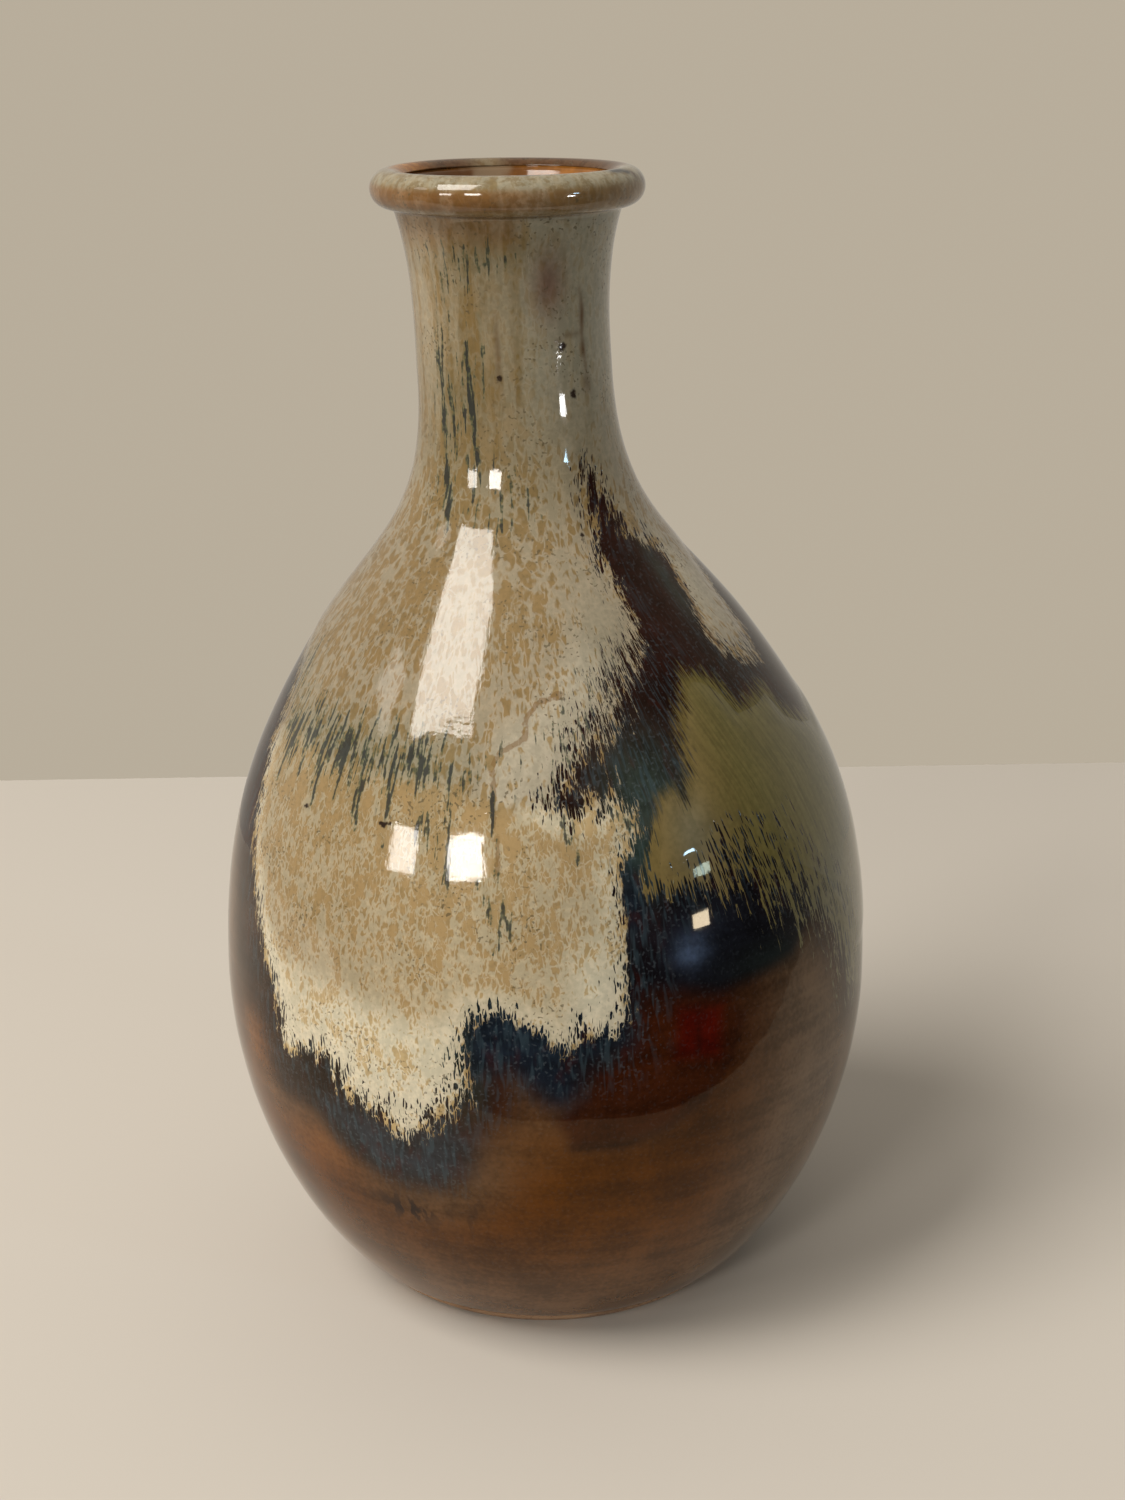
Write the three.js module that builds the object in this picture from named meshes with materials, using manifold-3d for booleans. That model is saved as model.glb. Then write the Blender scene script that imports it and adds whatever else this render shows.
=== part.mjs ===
// A ceramic bud vase: a stoneware bottle thrown on the wheel, glazed inside, dipped outside in a brown
// iron glaze, with three more glazes poured over it. Millimetres, +Z up, the foot stands on z = 0.
// Azimuth is counted in degrees round +Z from the front (-Y) towards +X.
import * as THREE from 'three';
import * as BufferGeometryUtils from 'three/addons/utils/BufferGeometryUtils.js';
import Module from 'manifold-3d';

const wasm = await Module();
wasm.setup();
const { Manifold, Mesh: SolidMesh } = wasm;

// ---- Driving dimensions ---------------------------------------------------------------------------
const height = 250;
const rimRadius = 29;
const rimThickness = 8.4;
const neckRadius = 21.1;
const neckHeight = 208;
const bellyRadius = 73.6;
const bellyHeight = 72;
const footRadius = 43.4;
const clayThickness = 4.4;
const glazeThickness = 0.6;
const coatGap = 0.2;
const footRingWidth = 7;
const footRecess = 3.5;
const floorHeight = 9;
const floorRadius = 30;
const floorCornerHeight = 26;
const throatHeight = 216;
const collarRadius = 24;
const collarHeight = 241;
const glazeLineHeight = 3;
const leanOffset = 5.5;
const leanStart = 105;
const leanEnd = 240;
const segments = 36;

// ---- Derived dimensions ---------------------------------------------------------------------------
const pourBuild = glazeThickness + coatGap;
const clayDepth = glazeThickness + coatGap;
const wallDepth = clayDepth + clayThickness;
const linerDepth = wallDepth + coatGap;
const beadRadius = rimThickness / 2 - pourBuild;
const beadCentre = new THREE.Vector2(rimRadius - rimThickness / 2, height - rimThickness / 2);
const throatRadius = neckRadius - pourBuild - linerDepth - glazeThickness;
const lipAngle = THREE.MathUtils.degToRad(140);

// ---- The wall's outline: the face of the brown glaze, from the foot up over the rolled rim ----------
function wallOutline() {
  const point = (radius, z) => new THREE.Vector2(radius, z);
  const foot = point(footRadius, 0);
  const belly = point(bellyRadius, bellyHeight);
  const shoulder = point(50.9, 147.3);
  const shoulderSlope = point(-Math.cos(1), Math.sin(1));
  const neck = point(neckRadius - pourBuild, neckHeight);
  const collar = point(collarRadius - pourBuild, collarHeight);
  const along = (start, distance) => start.clone().addScaledVector(shoulderSlope, distance);
  const outline = new THREE.CurvePath();
  outline.add(new THREE.CubicBezierCurve(foot, point(63.2, 16.6), point(bellyRadius, 48), belly));
  outline.add(new THREE.CubicBezierCurve(belly, point(bellyRadius, 109), along(shoulder, -24), shoulder));
  outline.add(new THREE.CubicBezierCurve(shoulder, along(shoulder, 29), point(neck.x, 174.5), neck));
  outline.add(new THREE.CubicBezierCurve(neck, point(neck.x, 214), point(collar.x - 3.8, 228.7), collar));
  const beadStart = THREE.MathUtils.degToRad(-95);
  outline.add(new THREE.EllipseCurve(
    beadCentre.x, beadCentre.y, beadRadius, beadRadius, beadStart, lipAngle, false));
  return outline;
}

const outline = wallOutline();
const outlineSteps = [5, 5, 5, 2, 5];
const mouthStations = [0.02, 0.3, 0.65, 1];

// A point of the wall at station s (0 at the foot, 1 at the inner lip), sunk by depth into the clay.
function wallPoint(s, depth) {
  const point = outline.getPoint(s);
  const tangent = outline.getTangent(s);
  return new THREE.Vector2(point.x - tangent.y * depth, point.y + tangent.x * depth);
}

// The station where the wall passes a height below the rim.
function stationAt(z) {
  let low = 0;
  let high = 0.9;
  for (let turn = 0; turn < 40; turn += 1) {
    const middle = (low + high) / 2;
    if (outline.getPoint(middle).y < z) {
      low = middle;
    } else {
      high = middle;
    }
  }
  return low;
}

// Stations shared by every coat, so that faceted coats lie parallel to the clay.
function sharedStations() {
  const ends = outline.getCurveLengths();
  const total = ends[ends.length - 1];
  const stations = [0];
  let start = 0;
  ends.forEach((end, piece) => {
    for (let step = 1; step <= outlineSteps[piece]; step += 1) {
      stations.push((start + (end - start) * step / outlineSteps[piece]) / total);
    }
    start = end;
  });
  return stations;
}

const stations = sharedStations();
const spanned = (from, to) => [from, ...stations.filter((s) => s > from + 0.008 && s < to - 0.008), to];

// ---- The hollow's outline: the mouth, the throat and the inside of the body -------------------------
// Depth 0 is the face of the inner glaze; the back of that glaze and the clay lie at larger depths.
function hollowPoints(depth) {
  const lip = new THREE.Vector2(Math.cos(lipAngle), Math.sin(lipAngle));
  const lipPoint = beadCentre.clone().addScaledVector(lip, beadRadius);
  const inward = new THREE.Vector2(-lip.y, lip.x);
  const throat = new THREE.Vector2(throatRadius, throatHeight);
  const funnelEnd = new THREE.Vector2(throatRadius, throatHeight + 16);
  const mouth = new THREE.CubicBezierCurve(
    lipPoint, lipPoint.clone().addScaledVector(inward, 9), funnelEnd, throat);
  const points = [];
  for (const t of mouthStations) {
    const point = mouth.getPoint(t);
    const tangent = mouth.getTangent(t);
    points.push(new THREE.Vector2(point.x - tangent.y * depth, point.y + tangent.x * depth));
  }
  const faceDepth = linerDepth + glazeThickness - depth;
  const corner = stationAt(floorCornerHeight);
  const innerStations = stations.filter((s) => s > corner && s < stationAt(neckHeight + 1));
  innerStations.reverse().forEach((s) => points.push(wallPoint(s, faceDepth)));
  points.push(wallPoint(corner, faceDepth));
  points.push(new THREE.Vector2(floorRadius + 12 + depth * 0.8, floorHeight + 3.2 - depth * 0.6));
  points.push(new THREE.Vector2(floorRadius, floorHeight - depth));
  points.push(new THREE.Vector2(0, floorHeight - depth));
  return points;
}

// ---- Turning, leaning and cutting -------------------------------------------------------------------
// The neck sags a little to -X between leanStart and leanEnd, and the rim stays level.
function lean(geometry) {
  const position = geometry.attributes.position;
  for (let i = 0; i < position.count; i += 1) {
    const shift = THREE.MathUtils.smoothstep(position.getZ(i), leanStart, leanEnd) * leanOffset;
    position.setX(i, position.getX(i) - shift);
  }
  geometry.computeVertexNormals();
  return geometry;
}

function turned(profile) {
  const geometry = new THREE.LatheGeometry(profile, segments);
  geometry.deleteAttribute('uv');
  geometry.deleteAttribute('normal');
  geometry.rotateX(Math.PI / 2);
  return BufferGeometryUtils.mergeVertices(geometry, 1e-4);
}

// A closed shell between two depths of the wall.
function coatShell(from, to, outerDepth, innerDepth) {
  const span = spanned(from, to);
  const outer = span.map((s) => wallPoint(s, outerDepth));
  const inner = span.map((s) => wallPoint(s, innerDepth)).reverse();
  return turned([...outer, ...inner, outer[0].clone()]);
}

function toSolid(geometry) {
  return new Manifold(new SolidMesh({
    numProp: 3,
    vertProperties: new Float32Array(geometry.attributes.position.array),
    triVerts: new Uint32Array(geometry.index.array),
  }));
}

function toGeometry(solid) {
  const mesh = solid.getMesh();
  const geometry = new THREE.BufferGeometry();
  geometry.setAttribute('position', new THREE.BufferAttribute(new Float32Array(mesh.vertProperties), 3));
  geometry.setIndex(new THREE.BufferAttribute(new Uint32Array(mesh.triVerts), 1));
  return geometry;
}

// ---- Pour regions: [azimuth, height] edges swept straight out from the axis ---------------------------
const regionStep = 5;

function polar(radius, azimuth, z) {
  const angle = THREE.MathUtils.degToRad(azimuth);
  return [radius * Math.sin(angle), -radius * Math.cos(angle), z];
}

function edgeHeight(edge, azimuth) {
  const next = edge.findIndex(([angle]) => angle >= azimuth);
  if (next <= 0) {
    return edge[0][1];
  }
  const [angleA, heightA] = edge[next - 1];
  const [angleB, heightB] = edge[next];
  return THREE.MathUtils.mapLinear(azimuth, angleA, angleB, heightA, heightB);
}

function solidFrom(vertices, faces) {
  const geometry = new THREE.BufferGeometry();
  geometry.setAttribute('position', new THREE.Float32BufferAttribute(vertices.flat(), 3));
  geometry.setIndex(faces.flat());
  return toSolid(geometry);
}

// Everything above an edge that runs all the way round. The rings keep the cut close to radial.
function regionAbove(edge) {
  const rings = [16, 32, 64, 100];
  const ceiling = height + 20;
  const columns = 360 / regionStep;
  const rows = rings.length + 1;
  const vertices = [[0, 0, edgeHeight(edge, 0)], [0, 0, ceiling]];
  for (let column = 0; column < columns; column += 1) {
    const azimuth = -180 + column * regionStep;
    rings.forEach((radius) => vertices.push(polar(radius, azimuth, edgeHeight(edge, azimuth))));
    vertices.push(polar(rings[rings.length - 1], azimuth, ceiling));
  }
  const faces = [];
  for (let column = 0; column < columns; column += 1) {
    const a = 2 + column * rows;
    const b = 2 + ((column + 1) % columns) * rows;
    faces.push([0, b, a], [a + rows - 1, b + rows - 1, 1]);
    for (let row = 0; row < rows - 1; row += 1) {
      faces.push([a + row, b + row, b + row + 1], [a + row, b + row + 1, a + row + 1]);
    }
  }
  return solidFrom(vertices, faces);
}

// The patch between a lower and an upper edge that meet the same two end azimuths.
function regionBetween(lower, upper) {
  const nearRadius = 40;
  const farRadius = 90;
  const start = lower[0][0];
  const end = lower[lower.length - 1][0];
  const columns = Math.round((end - start) / regionStep);
  const vertices = [];
  for (let column = 0; column <= columns; column += 1) {
    const azimuth = start + (end - start) * column / columns;
    const low = edgeHeight(lower, azimuth);
    const high = edgeHeight(upper, azimuth);
    vertices.push(polar(nearRadius, azimuth, low), polar(farRadius, azimuth, low));
    vertices.push(polar(farRadius, azimuth, high), polar(nearRadius, azimuth, high));
  }
  const faces = [[0, 1, 2], [0, 2, 3]];
  for (let column = 0; column < columns; column += 1) {
    const a = [0, 1, 2, 3].map((k) => column * 4 + k);
    const b = a.map((index) => index + 4);
    for (let side = 0; side < 4; side += 1) {
      const next = (side + 1) % 4;
      faces.push([a[side], b[side], b[next]], [a[side], b[next], a[next]]);
    }
  }
  const last = columns * 4;
  faces.push([last, last + 2, last + 1], [last, last + 3, last + 2]);
  return solidFrom(vertices, faces);
}

// ---- The pieces ---------------------------------------------------------------------------------------
function clayBody() {
  const outer = spanned(0, 1).map((s) => wallPoint(s, clayDepth));
  const hollow = hollowPoints(glazeThickness + coatGap);
  const ringOuter = outer[0].x - outer[0].y;
  const ringInner = ringOuter - footRingWidth;
  const profile = [
    new THREE.Vector2(0, footRecess),
    new THREE.Vector2(ringInner - 1.5, footRecess),
    new THREE.Vector2(ringInner, 0),
    new THREE.Vector2(ringOuter, 0),
    ...outer,
    ...hollow,
  ];
  return turned(profile);
}

function linerGlaze() {
  const face = hollowPoints(0);
  const back = hollowPoints(glazeThickness);
  return turned([...back.reverse(), ...face]);
}

function baseGlaze() {
  return coatShell(stationAt(glazeLineHeight), 1, 0, glazeThickness);
}

function pouredGlaze(lowest, highest, region) {
  const shell = coatShell(lowest, highest, -pourBuild, -coatGap);
  return toGeometry(toSolid(shell).intersect(region));
}

function shoulderGlaze() {
  const edge = [
    [-180, 158], [-150, 151], [-120, 156], [-90, 149], [-60, 142], [-20, 141], [-10, 134], [0, 132],
    [10, 141], [20, 150], [30, 160], [35, 184], [45, 184], [50, 176], [60, 158], [70, 152], [80, 157],
    [100, 166], [125, 152], [150, 160], [180, 158],
  ];
  return pouredGlaze(stationAt(128), 1, regionAbove(edge));
}

function bellyGlaze() {
  const lower = [
    [-75, 129], [-65, 108], [-55, 90], [-50, 74], [-40, 74], [-30, 66], [-25, 61], [-20, 63],
    [-15, 78], [-10, 91], [0, 84], [5, 84], [10, 89], [15, 122],
  ];
  const upper = [
    [-75, 133], [-65, 138], [-20, 138], [-10, 131], [0, 129], [10, 131], [15, 127],
  ];
  return pouredGlaze(stationAt(50), stationAt(145), regionBetween(lower, upper));
}

function oliveGlaze() {
  const lower = [
    [20, 121], [25, 117], [40, 118], [50, 107], [60, 94], [70, 83], [80, 79], [95, 88], [110, 104],
    [120, 121],
  ];
  const upper = [
    [20, 126], [25, 133], [30, 141], [40, 149], [50, 145], [60, 144], [70, 139], [85, 134],
    [100, 138], [110, 134], [120, 126],
  ];
  return pouredGlaze(stationAt(60), stationAt(155), regionBetween(lower, upper));
}

// ---- Assembly -----------------------------------------------------------------------------------------
const pieces = [
  { name: 'clay_body', shape: clayBody, colour: 0x8a6a50, roughness: 0.85 },
  { name: 'liner_glaze', shape: linerGlaze, colour: 0x9a5f22, roughness: 0.18 },
  { name: 'base_glaze', shape: baseGlaze, colour: 0x43220f, roughness: 0.14 },
  { name: 'shoulder_glaze', shape: shoulderGlaze, colour: 0xb7a78a, roughness: 0.24 },
  { name: 'belly_glaze', shape: bellyGlaze, colour: 0xb59a6b, roughness: 0.22 },
  { name: 'olive_glaze', shape: oliveGlaze, colour: 0x77693a, roughness: 0.22 },
];

const vase = new THREE.Group();
for (const { name, shape, colour, roughness } of pieces) {
  const material = new THREE.MeshStandardMaterial({ color: colour, roughness, metalness: 0 });
  const mesh = new THREE.Mesh(lean(shape()), material);
  mesh.name = name;
  vase.add(mesh);
}

export default vase;
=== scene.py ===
"""The looks of a glazed stoneware bud vase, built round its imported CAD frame.

A thrown bottle with a bare clay foot: amber glaze inside, a brown iron glaze outside, and cream, tan and
olive glazes poured over it, which run and fray. Azimuths are degrees round +Z from the front (-Y) towards
+X. Heights and lengths are millimetres, and MM turns them into metres.
"""
import math

import bpy
import numpy as np
from mathutils import Matrix, Vector


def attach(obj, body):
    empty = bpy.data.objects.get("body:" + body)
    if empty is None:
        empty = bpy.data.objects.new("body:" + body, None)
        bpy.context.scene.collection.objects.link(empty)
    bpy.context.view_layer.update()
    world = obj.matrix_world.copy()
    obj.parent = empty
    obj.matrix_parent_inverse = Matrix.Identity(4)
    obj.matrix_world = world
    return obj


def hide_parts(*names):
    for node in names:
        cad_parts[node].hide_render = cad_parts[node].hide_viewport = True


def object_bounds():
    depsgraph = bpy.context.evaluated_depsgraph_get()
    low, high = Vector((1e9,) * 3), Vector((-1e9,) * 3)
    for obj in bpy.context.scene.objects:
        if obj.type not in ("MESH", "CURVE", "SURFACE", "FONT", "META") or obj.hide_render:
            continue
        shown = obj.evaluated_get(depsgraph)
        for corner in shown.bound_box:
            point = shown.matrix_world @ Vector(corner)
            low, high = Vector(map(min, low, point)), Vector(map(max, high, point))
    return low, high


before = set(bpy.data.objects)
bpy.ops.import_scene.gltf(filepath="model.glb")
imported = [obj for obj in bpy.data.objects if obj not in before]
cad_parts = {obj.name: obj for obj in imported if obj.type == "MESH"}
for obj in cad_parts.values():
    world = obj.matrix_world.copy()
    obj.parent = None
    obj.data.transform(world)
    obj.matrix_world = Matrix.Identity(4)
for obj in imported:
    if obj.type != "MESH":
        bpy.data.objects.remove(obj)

CAD_LOW, CAD_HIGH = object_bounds()
HEIGHT = 250
MM = (CAD_HIGH.z - CAD_LOW.z) / HEIGHT

# ---- Driving dimensions, in millimetres
FOOT_RADIUS = 43.4
BELLY_RADIUS = 73.35
BELLY_HEIGHT = 72
NECK_RADIUS = 21.1
NECK_HEIGHT = 208
COLLAR = (24, 241)
BEAD_CENTRE = np.array((24.8, 245.8))
BEAD_RADIUS = 4.2
BEAD_START = -95
LIP_ANGLE = 140
THROAT_RADIUS = 14.3
THROAT_HEIGHT = 216
WALL_THICKNESS = 5.2
GLAZE_THICKNESS = 0.5
GLAZE_LINE = 3
FOOT_RING = 7
FOOT_RECESS = 3.5
LEAN_OFFSET = 5.5
LEAN_START = 105
LEAN_END = 240
COVER = 0.35
COLUMNS = 360
FLOW_RADIUS = 72
NECK_FLOW_RADIUS = 28
BEAD_EDGE = (17.6, 16.8)


# ---- Small helpers
def smooth(value, low, high):
    t = np.clip((value - low) / (high - low), 0, 1)
    return t * t * (3 - 2 * t)


def linear(red, green, blue):
    """A colour of 0-255 display values as linear light."""
    share = np.array((red, green, blue)) / 255
    return np.where(share <= 0.04045, share / 12.92, ((share + 0.055) / 1.055) ** 2.4)


def bezier(points, count=60):
    a, b, c, d = (np.array(point, float) for point in points)
    t = np.linspace(0, 1, count)[:, None]
    return a * (1 - t) ** 3 + 3 * b * t * (1 - t) ** 2 + 3 * c * t * t * (1 - t) + d * t ** 3


def arc_lengths(points):
    return np.concatenate([[0], np.cumsum(np.linalg.norm(np.diff(points, axis=0), axis=1))])


def at_lengths(points, lengths):
    along = arc_lengths(points)
    return np.stack([np.interp(lengths, along, points[:, k]) for k in (0, 1)], axis=1)


# ---- The outline of the wall, from the foot up over the rolled rim
def wall_curve():
    uphill = np.array((-math.cos(1), math.sin(1)))
    shoulder = np.array((51.3, 147.5))
    foot = (FOOT_RADIUS, 0)
    belly = (BELLY_RADIUS, BELLY_HEIGHT)
    neck = (NECK_RADIUS, NECK_HEIGHT)
    turn = np.radians(np.linspace(BEAD_START, LIP_ANGLE, 60))
    bead = BEAD_CENTRE + BEAD_RADIUS * np.stack([np.cos(turn), np.sin(turn)], axis=1)
    return np.concatenate([
        bezier([foot, (63.2, 16.6), (BELLY_RADIUS, 48), belly])[:-1],
        bezier([belly, (BELLY_RADIUS, 109), shoulder - 24 * uphill, shoulder])[:-1],
        bezier([shoulder, shoulder + 29 * uphill, (NECK_RADIUS, 174.5), neck])[:-1],
        bezier([neck, (NECK_RADIUS, 214), (20.2, 228.7), COLLAR]),
        bead,
    ])


def wall_stations(curve):
    """Arc lengths of the rows: even on the body, and closer together round the rim."""
    body_step, rim_step, rim_length = 1.15, 0.55, 20
    total = arc_lengths(curve)[-1]
    rim = total - rim_length
    return np.concatenate([np.arange(0, rim, body_step), np.arange(rim, total, rim_step), [total]])


CURVE = wall_curve()
STATIONS = wall_stations(CURVE)
PROFILE = at_lengths(CURVE, STATIONS)
TANGENT = np.gradient(PROFILE, axis=0)
TANGENT /= np.linalg.norm(TANGENT, axis=1)[:, None]
NORMAL = np.stack([TANGENT[:, 1], -TANGENT[:, 0]], axis=1)

AZIMUTH = np.arange(COLUMNS)[None, :] * (360 / COLUMNS) - 180
LENGTH = STATIONS[:, None]
RADIUS = PROFILE[:, :1]
LEVEL = PROFILE[:, 1:]
BEAD_ANGLE = np.degrees(np.arctan2(LEVEL - BEAD_CENTRE[1], RADIUS - BEAD_CENTRE[0]))
ON_BEAD = smooth(LENGTH, *(STATIONS[-1] - np.array(BEAD_EDGE)))


def length_at(height):
    body = np.argmax(PROFILE[:, 1] > COLLAR[1])
    return np.interp(height, PROFILE[:body, 1], STATIONS[:body])


# ---- Painting on the wall: masks over the grid of rows and columns
def turn_from(azimuth):
    return (AZIMUTH - azimuth + 180) % 360 - 180


def blob(azimuth, height, half_width, half_height):
    """A soft round spot, its half width in degrees and its half height in millimetres."""
    across = turn_from(azimuth) / half_width
    along = (LENGTH - length_at(height)) / half_height
    return np.exp(-across ** 2 - along ** 2)


def distance(line):
    """Millimetres from each grid point to a line of (azimuth, height) points."""
    nearest = np.full((len(STATIONS), COLUMNS), 1e6)
    per_degree = math.pi / 180 * RADIUS
    for (turn_a, high_a), (turn_b, high_b) in zip(line, line[1:]):
        ax = (turn_a - AZIMUTH) * per_degree
        ay = length_at(high_a) - LENGTH
        bx = (turn_b - turn_a) * per_degree
        by = length_at(high_b) - length_at(high_a)
        t = np.clip(-(ax * bx + ay * by) / np.maximum(bx * bx + by * by, 1e-9), 0, 1)
        nearest = np.minimum(nearest, np.hypot(ax + t * bx, ay + t * by))
    return nearest


def on_wall(line):
    """A line of (azimuth, height) points with lengths along the wall in place of its heights."""
    return [(turn, float(length_at(high))) for turn, high in line]


def inside(outline):
    """Which grid points lie within a closed outline of (azimuth, length) points."""
    found = np.zeros((len(STATIONS), COLUMNS), bool)
    for (turn_a, low), (turn_b, high) in zip(outline, outline[1:] + outline[:1]):
        if low == high:
            continue
        crossing = turn_a + (turn_b - turn_a) * (LENGTH - low) / (high - low)
        found ^= ((low > LENGTH) != (high > LENGTH)) & (AZIMUTH < crossing)
    return found


def signed_distance(outline):
    """Millimetres inside (positive) or outside (negative) a closed outline."""
    return distance(outline + outline[:1]) * np.where(inside(on_wall(outline)), 1, -1)


def signed_above(edge):
    """Millimetres above (positive) or below (negative) an edge that runs from left to right."""
    sky = STATIONS[-1] + 60
    closed = [(edge[0][0], sky)] + on_wall(edge) + [(edge[-1][0], sky)]
    return distance(edge) * np.where(inside(closed), 1, -1)


def stroke(line, half_width):
    """A soft line, its half width in millimetres."""
    return np.exp(-(distance(line) / half_width) ** 2)


def area(outline, blur):
    """A closed area whose edge is blurred by that many millimetres either side."""
    return smooth(signed_distance(outline), -blur, blur)


def painted(ground, layers):
    """Lays (mask, colour) layers over a starting colour."""
    shape = (len(STATIONS), COLUMNS, 1)
    canvas = np.ones(shape) * ground
    for mask, colour in layers:
        share = np.clip(mask, 0, 1)[..., None]
        canvas = canvas * (1 - share) + colour * share
    return canvas


# ---- Where each glaze was poured
BELLY_LEFT = [(-73, 131), (-70, 125), (-68, 118), (-66, 112), (-63, 106), (-60, 100), (-57, 94), (-55, 90),
              (-52, 84), (-50, 78)]
BELLY_BOTTOM = [(-50, 73), (-48, 72), (-45, 74), (-40, 76), (-37, 73), (-34, 68), (-31, 66), (-28, 66),
                (-26, 62), (-24, 60), (-21, 63), (-19, 67), (-16, 71), (-14, 72), (-14, 86), (-12, 90),
                (-8, 90), (-4, 88), (-1, 86), (2, 83), (4, 84), (6, 88), (8, 86), (10, 84), (12, 89)]
BELLY_RIGHT = [(13, 105), (12.5, 118), (15, 121), (17, 125), (16, 129), (14, 131), (11, 128.5), (9, 131),
               (6, 128), (3, 129.5), (0, 130.5)]
CREAM_FRONT = [(2, 133), (5, 137), (8, 140), (12, 142), (15, 147), (18, 150), (22, 154), (26, 157),
               (29, 158), (31, 162), (30, 170), (29, 174), (31, 178), (33, 184), (34, 190), (38, 190.5),
               (42, 188), (45, 184), (46, 180), (48, 176), (52, 174), (60, 174), (62, 170), (58, 162),
               (55, 157), (57, 153), (63, 151), (68, 149), (71, 148), (75, 154), (78, 161), (84, 166)]
CREAM_BACK = [(92, 168), (100, 167), (108, 163), (116, 155), (125, 152), (134, 154), (142, 159), (150, 160),
              (160, 156), (170, 160), (180, 158)]
CREAM_LEFT = [(-180, 158), (-170, 157), (-160, 152), (-150, 151), (-140, 155), (-130, 157), (-120, 156),
              (-112, 150), (-104, 148), (-96, 151), (-90, 149), (-84, 147), (-78, 144), (-74, 138)]
OLIVE = [(31, 133), (32, 141), (35, 145), (37, 148), (40, 150), (44, 149), (48, 146), (50, 142), (57, 142),
         (64, 143), (67, 137), (73, 134), (80, 132), (90, 136), (100, 138), (110, 134), (119, 126),
         (119, 121), (112, 107), (104, 96), (95, 88), (85, 81), (75, 80), (70, 82), (68, 86), (65, 92),
         (62, 97), (58, 104), (54, 107), (50, 110), (44, 115), (40, 121), (31, 121), (31, 118), (25, 115),
         (19, 114), (20, 119), (21, 124), (23, 130), (26, 131), (28, 127)]


def wrapped(edge):
    """An edge all the way round, carried on past both its ends at the back."""
    before = [(turn - 360, high) for turn, high in CREAM_BACK[-7:-1]]
    after = [(turn + 360, high) for turn, high in CREAM_LEFT[1:8]]
    return before + edge + after


BELLY_EDGE = BELLY_LEFT + BELLY_BOTTOM + BELLY_RIGHT
PALE = signed_above(wrapped(CREAM_LEFT + BELLY_EDGE + CREAM_FRONT + CREAM_BACK))
OLIVE_IN = signed_distance(OLIVE)
SEAM_LEFT = [(-78, 134), (-70, 137), (-60, 137), (-45, 136), (-30, 135), (-18, 132), (-8, 129), (0, 130.5)]
CREAM_IN = signed_above(wrapped(CREAM_LEFT[:-1] + SEAM_LEFT + CREAM_FRONT + CREAM_BACK))
BELLY_IN = signed_distance(BELLY_EDGE + [(-8, 136), (-18, 140), (-45, 142), (-66, 141)])
BLOCK = area(BELLY_EDGE + [(-8, 129), (-18, 133), (-45, 134), (-66, 136)], 3)

# ---- Colours of the fired glazes
AMBER = linear(76, 38, 0)
GOLDEN = linear(86, 46, 0)
UMBER = linear(104, 80, 58)
RUST = linear(118, 72, 32)
MAROON = linear(38, 19, 15)
NIGHT = linear(15, 15, 20)
NAVY = linear(20, 28, 38)
TEAL = linear(46, 58, 52)
SLATE = linear(40, 30, 24)
FLOOR_REFLECTION = linear(108, 90, 72)
BLUE_REFLECTION = linear(70, 84, 108)
DUSK = linear(46, 54, 62)
VIOLET = linear(58, 44, 36)
BLOOD = linear(78, 8, 2)
RED_BROWN = linear(52, 21, 6)
CREAM = linear(164, 150, 125)
GREY_CREAM = linear(158, 149, 126)
CHALK = linear(180, 169, 147)
SAND = linear(190, 174, 143)
BONE = linear(216, 206, 180)
RIM_BROWN = linear(148, 114, 80)
SMUDGE = linear(118, 92, 76)
STRAW = linear(144, 131, 103)


def on_rim(azimuth, angle, half_width, half_angle):
    """A soft spot on the rolled rim, placed by the angle round its bead."""
    across = turn_from(azimuth) / half_width
    round_bead = (BEAD_ANGLE - angle) / half_angle
    return ON_BEAD * np.exp(-across ** 2 - round_bead ** 2)


def near_pour():
    """How close a point outside the pours is to one of them."""
    return np.maximum(PALE, OLIVE_IN)


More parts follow.
